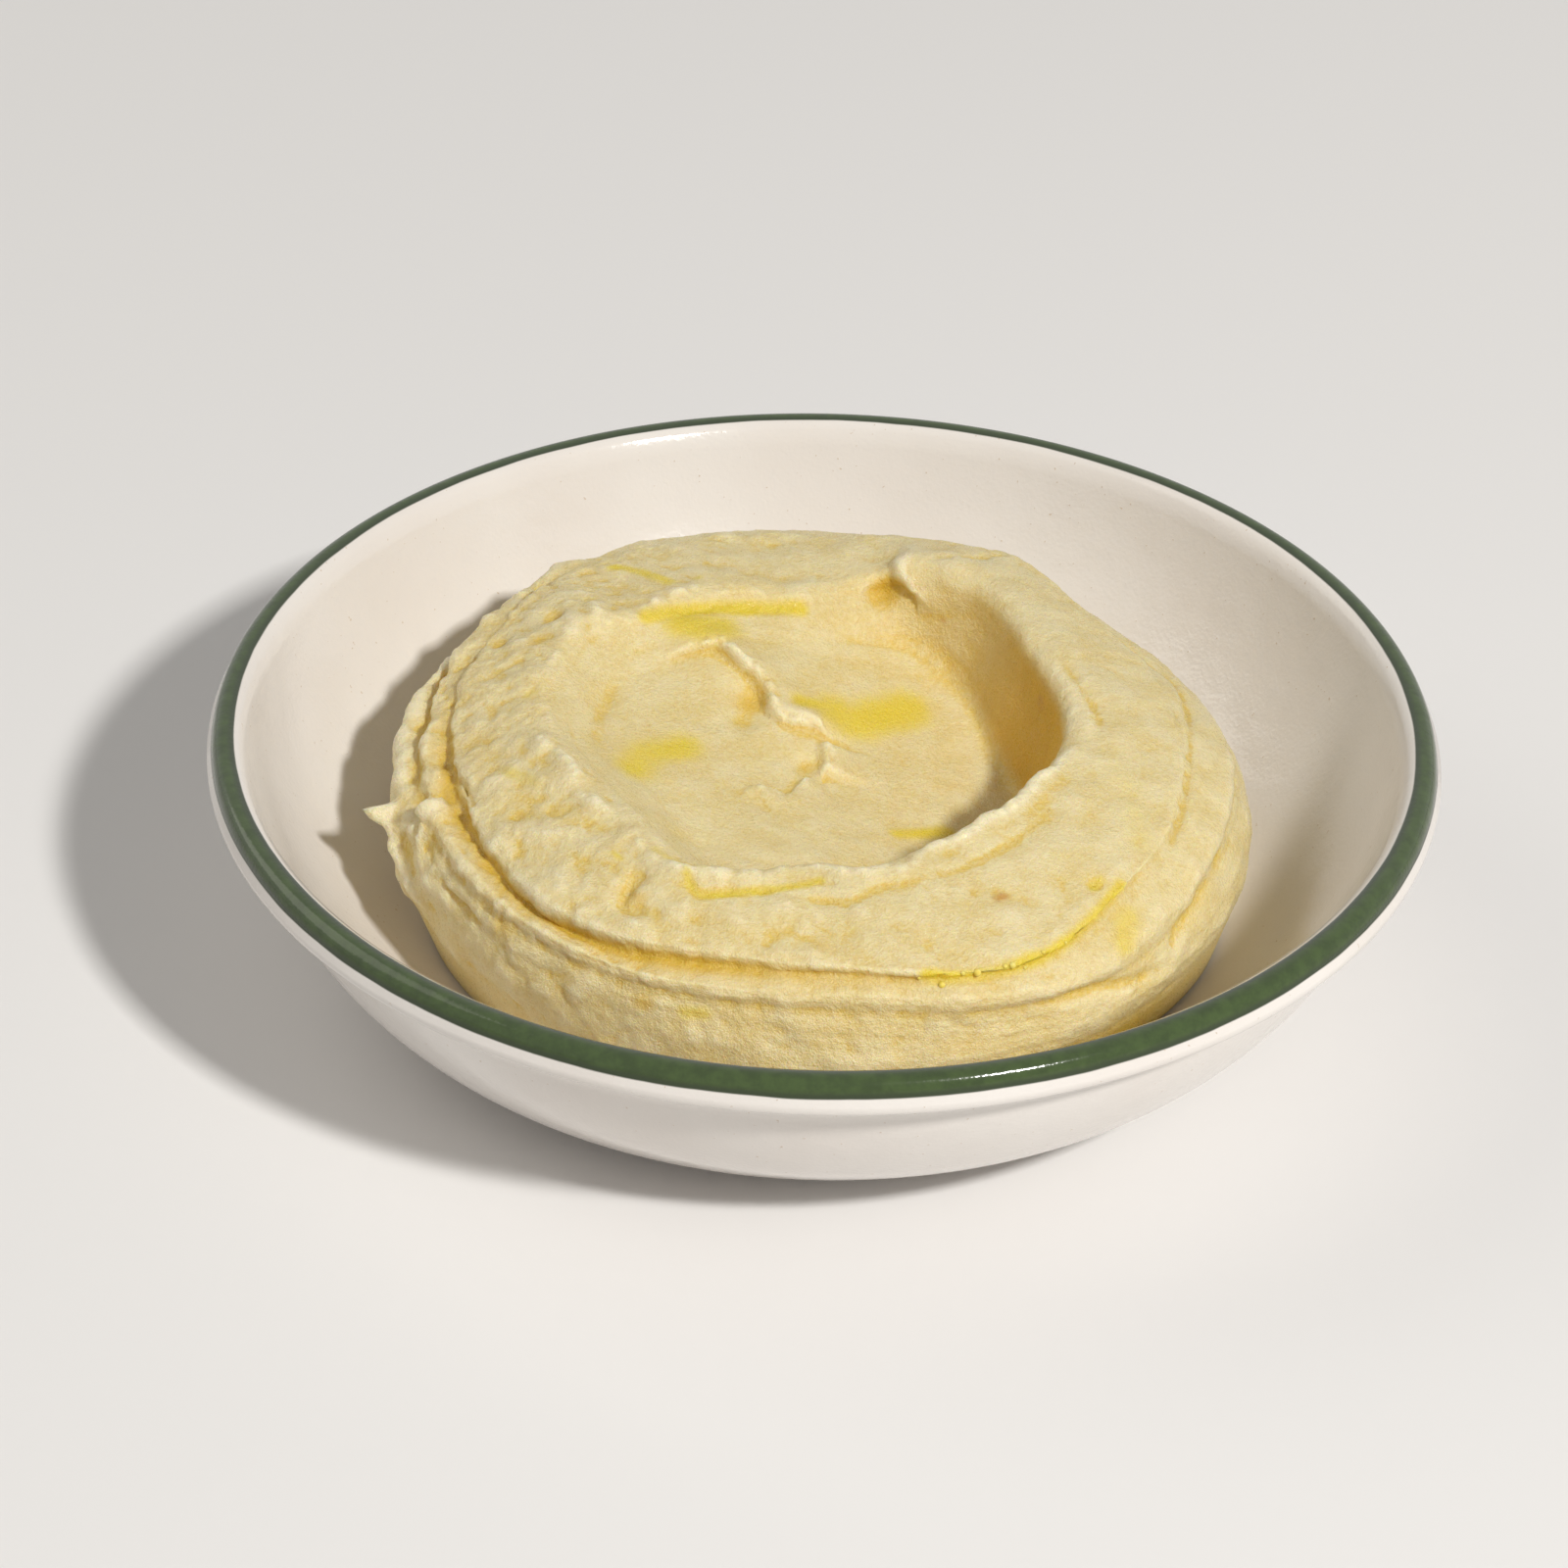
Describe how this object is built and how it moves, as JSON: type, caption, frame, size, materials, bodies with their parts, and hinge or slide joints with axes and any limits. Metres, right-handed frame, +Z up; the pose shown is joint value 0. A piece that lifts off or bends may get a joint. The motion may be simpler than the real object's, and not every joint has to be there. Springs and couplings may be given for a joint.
{
  "type": "mashed potato side",
  "caption": "Heap of spoon-swirled mashed potato with a hollow, a raised roll and oil pools, in a low cream bowl with a green rim.",
  "frame": {"origin": "on the table, under the middle of the bowl's foot", "axes": "+Z up, -Y to the front, +X to the right seen from the front"},
  "size_m": [0.1808, 0.1808, 0.0435],
  "materials": {
    "cream_glaze": "glossy",
    "mash": "satin"
  },
  "bodies": {
    "root": {"bowl": "cream_glaze", "mashed_potato": "mash"}
  },
  "joints": []
}
